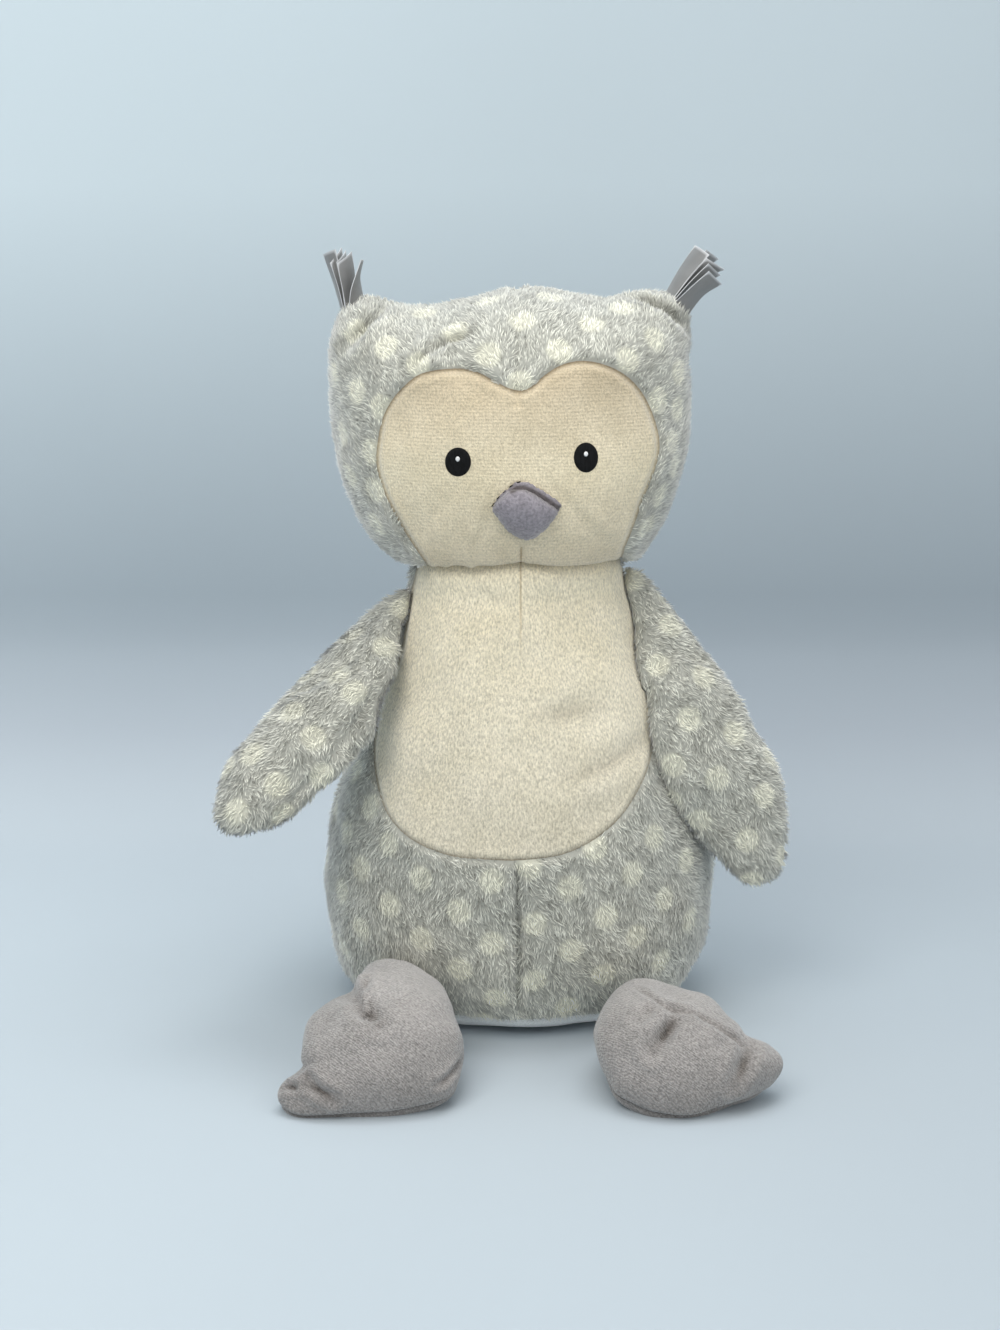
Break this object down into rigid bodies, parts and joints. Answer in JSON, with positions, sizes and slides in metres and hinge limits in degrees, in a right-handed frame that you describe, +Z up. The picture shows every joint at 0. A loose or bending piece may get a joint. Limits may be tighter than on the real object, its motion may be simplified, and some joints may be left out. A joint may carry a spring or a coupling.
{
  "type": "plush owl",
  "caption": "Seated stuffed owl with a pear-shaped body, a wide head with ribbon ear tufts, wings and three-toed feet that bend at their seams.",
  "frame": {"origin": "centre of the flat base panel, on the surface that the owl sits on", "axes": "+Z up through the head, -Y the way the owl faces, +X to the owl's left"},
  "size_m": [0.2352, 0.194, 0.3192],
  "materials": {
    "dotted_grey_plush": "short pile with round cream dots",
    "cream_velour": "velour",
    "beige_velour": "velour",
    "pale_base_cloth": "matte",
    "mauve_velour": "velour",
    "mauve_felt": "felt",
    "grey_satin": "satin",
    "black_thread": "embroidered",
    "white_thread": "embroidered",
    "white_fibre": "loose fibre",
    "white_bag_cloth": "matte",
    "pale_pellets": "matte"
  },
  "bodies": {
    "torso": {"belly_panel": "cream_velour", "body_front_left_panel": "dotted_grey_plush", "body_front_right_panel": "dotted_grey_plush", "body_back_left_panel": "dotted_grey_plush", "body_back_right_panel": "dotted_grey_plush", "base_panel": "pale_base_cloth", "body_stuffing": "white_fibre", "pellet_bag": "white_bag_cloth", "pellet_fill": "pale_pellets"},
    "neck": {"neck_stuffing": "white_fibre"},
    "head": {"face_panel": "beige_velour", "head_front_left_panel": "dotted_grey_plush", "head_front_right_panel": "dotted_grey_plush", "head_back_left_panel": "dotted_grey_plush", "head_back_right_panel": "dotted_grey_plush", "head_stuffing": "white_fibre", "left_eye": "black_thread", "right_eye": "black_thread", "left_eye_highlight": "white_thread", "right_eye_highlight": "white_thread", "beak_lower_panel": "mauve_felt", "beak_upper_panel": "mauve_felt", "beak_stuffing": "white_fibre"},
    "left_wing": {"left_wing_front_panel": "dotted_grey_plush", "left_wing_back_panel": "dotted_grey_plush", "left_wing_stuffing": "white_fibre"},
    "right_wing": {"right_wing_front_panel": "dotted_grey_plush", "right_wing_back_panel": "dotted_grey_plush", "right_wing_stuffing": "white_fibre"},
    "left_foot": {"left_foot_sole_panel": "mauve_velour", "left_foot_back_panel": "mauve_velour", "left_foot_stuffing": "white_fibre"},
    "right_foot": {"right_foot_sole_panel": "mauve_velour", "right_foot_back_panel": "mauve_velour", "right_foot_stuffing": "white_fibre"},
    "left_tuft": {"left_tuft_ribbon_1": "grey_satin", "left_tuft_ribbon_2": "grey_satin", "left_tuft_ribbon_3": "grey_satin", "left_tuft_ribbon_4": "grey_satin", "left_tuft_ribbon_5": "grey_satin"},
    "right_tuft": {"right_tuft_ribbon_1": "grey_satin", "right_tuft_ribbon_2": "grey_satin", "right_tuft_ribbon_3": "grey_satin", "right_tuft_ribbon_4": "grey_satin", "right_tuft_ribbon_5": "grey_satin"}
  },
  "joints": [
    {"name": "neck_turn", "type": "hinge", "parent": "torso", "child": "neck", "pos_m": [0, 0, 0.16], "axis": [0, 0, 1], "range_deg": [-20, 20], "stiffness_Nm_per_rad": 0.4},
    {"name": "head_nod", "type": "hinge", "parent": "neck", "child": "head", "pos_m": [0, 0, 0.16], "axis": [1, 0, 0], "range_deg": [-8, 8], "stiffness_Nm_per_rad": 1},
    {"name": "left_wing_lift", "type": "hinge", "parent": "torso", "child": "left_wing", "pos_m": [0.0475, -0.024, 0.175], "axis": [0, -1, 0], "range_deg": [0, 40], "stiffness_Nm_per_rad": 0.15},
    {"name": "right_wing_lift", "type": "hinge", "parent": "torso", "child": "right_wing", "pos_m": [-0.0475, -0.024, 0.175], "axis": [0, 1, 0], "range_deg": [-14, 26], "stiffness_Nm_per_rad": 0.15},
    {"name": "left_foot_swing", "type": "hinge", "parent": "torso", "child": "left_foot", "pos_m": [0.062, -0.05743, 0.04571], "axis": [1, 0, 0], "range_deg": [-50, 5], "stiffness_Nm_per_rad": 0.1},
    {"name": "right_foot_swing", "type": "hinge", "parent": "torso", "child": "right_foot", "pos_m": [-0.055, -0.06366, 0.04498], "axis": [1, 0, 0], "range_deg": [-50, 5], "stiffness_Nm_per_rad": 0.1},
    {"name": "left_tuft_bend", "type": "hinge", "parent": "head", "child": "left_tuft", "pos_m": [0.06, 0, 0.29], "axis": [0, 1, 0], "range_deg": [-15, 15], "stiffness_Nm_per_rad": 0.004},
    {"name": "right_tuft_bend", "type": "hinge", "parent": "head", "child": "right_tuft", "pos_m": [-0.06, 0, 0.29], "axis": [0, 1, 0], "range_deg": [-15, 15], "stiffness_Nm_per_rad": 0.004}
  ]
}
